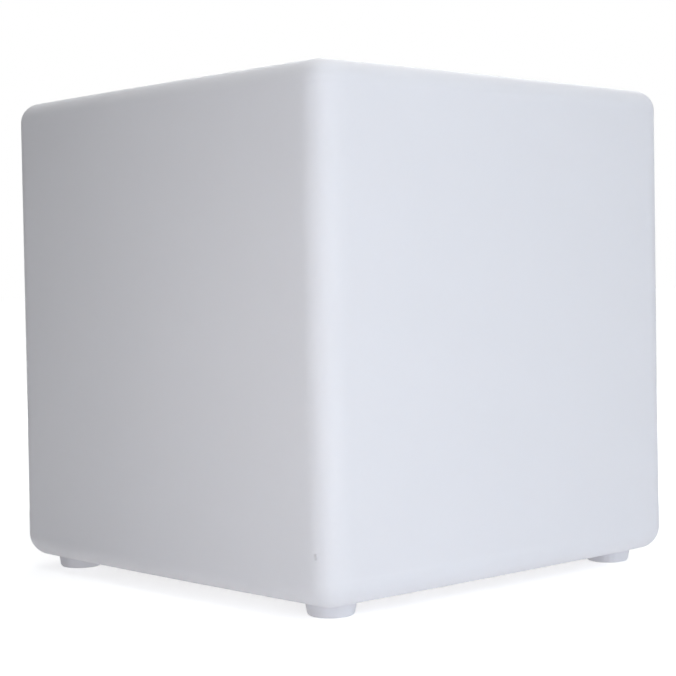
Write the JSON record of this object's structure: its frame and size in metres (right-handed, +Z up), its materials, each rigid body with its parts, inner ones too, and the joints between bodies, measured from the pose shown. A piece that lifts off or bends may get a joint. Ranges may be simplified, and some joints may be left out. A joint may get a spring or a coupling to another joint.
{
  "type": "led cube light",
  "caption": "Hollow white cube light on four moulded feet, with a rechargeable lamp unit screwed into its underside.",
  "frame": {"origin": "on the floor under the middle of the cube, in the plane of the four feet", "axes": "+Z up; front -Y, right +X"},
  "size_m": [0.4, 0.4, 0.4],
  "materials": {
    "shell_plastic": "satin translucent white polyethylene, rotationally moulded",
    "insert_brass": "turned, knurled outside",
    "seal_silicone": "soft silicone",
    "cover_plastic": "injection-moulded, fine satin",
    "screw_steel": "stainless",
    "switch_plastic": "black, satin",
    "button_plastic": "dark grey, soft gloss",
    "spring_steel": "drawn spring wire",
    "nut_plastic": "black moulded",
    "contact_metal": "nickel-plated",
    "nut_metal": "nickel-plated",
    "cap_silicone": "soft grey silicone",
    "pipe_plastic": "clear moulded acrylic",
    "cell_case": "steel can under printed-free film",
    "wrap_film": "blue shrink film",
    "board_laminate": "green solder mask",
    "clamp_plastic": "moulded",
    "header_plastic": "natural nylon",
    "chip_resin": "moulded resin",
    "capacitor_can": "sleeved aluminium can",
    "choke_ferrite": "ferrite",
    "lamp_package": "white package with a clear window",
    "platform_plastic": "white, reflective",
    "lamp_board_face": "aluminium core with white solder mask",
    "receiver_resin": "dark infrared-clear resin",
    "dome_plastic": "frosted polycarbonate",
    "lead_insulation": "soft lead covering"
  },
  "bodies": {
    "cube": {"cube_shell": "shell_plastic", "threaded_inserts": "insert_brass", "cover_gasket": "seal_silicone", "cover_plate": "cover_plastic", "cover_screws": "screw_steel", "button_body": "switch_plastic", "button_spring": "spring_steel", "button_seal": "seal_silicone", "button_nut": "nut_plastic", "button_tags": "contact_metal", "charging_socket": "switch_plastic", "socket_pin": "contact_metal", "socket_nut": "nut_metal", "socket_tags": "contact_metal", "cap_anchor": "cap_silicone", "charge_light_pipe": "pipe_plastic", "battery_cells": "cell_case", "battery_wrap": "wrap_film", "battery_guard_board": "board_laminate", "battery_clamp": "clamp_plastic", "clamp_screws": "screw_steel", "control_board": "board_laminate", "board_headers": "header_plastic", "board_chips": "chip_resin", "board_capacitors": "capacitor_can", "board_choke": "choke_ferrite", "charge_lamp": "lamp_package", "board_screws": "screw_steel", "lamp_platform": "platform_plastic", "lamp_board": "lamp_board_face", "lamps": "lamp_package", "lamp_header": "header_plastic", "signal_receiver": "receiver_resin", "lamp_board_screws": "screw_steel", "dome_seal": "seal_silicone", "lens_dome": "dome_plastic", "unit_screws": "screw_steel", "button_lead": "lead_insulation", "socket_lead": "lead_insulation", "battery_lead": "lead_insulation", "lamp_lead": "lead_insulation"},
    "button": {"power_button": "button_plastic"},
    "cap": {"socket_cap": "cap_silicone"}
  },
  "joints": [
    {"name": "button_press", "type": "slide", "parent": "cube", "child": "button", "axis": [0, 0, 1], "range_m": [0, 0.0015], "stiffness_N_per_m": 1500, "springref_m": -0.0015, "deforming": ["button_spring"]},
    {"name": "cap_hinge", "type": "hinge", "parent": "cube", "child": "cap", "pos_m": [0.022, 0.0395, 0.0249], "axis": [1, 0, 0], "range_deg": [0, 100]}
  ]
}
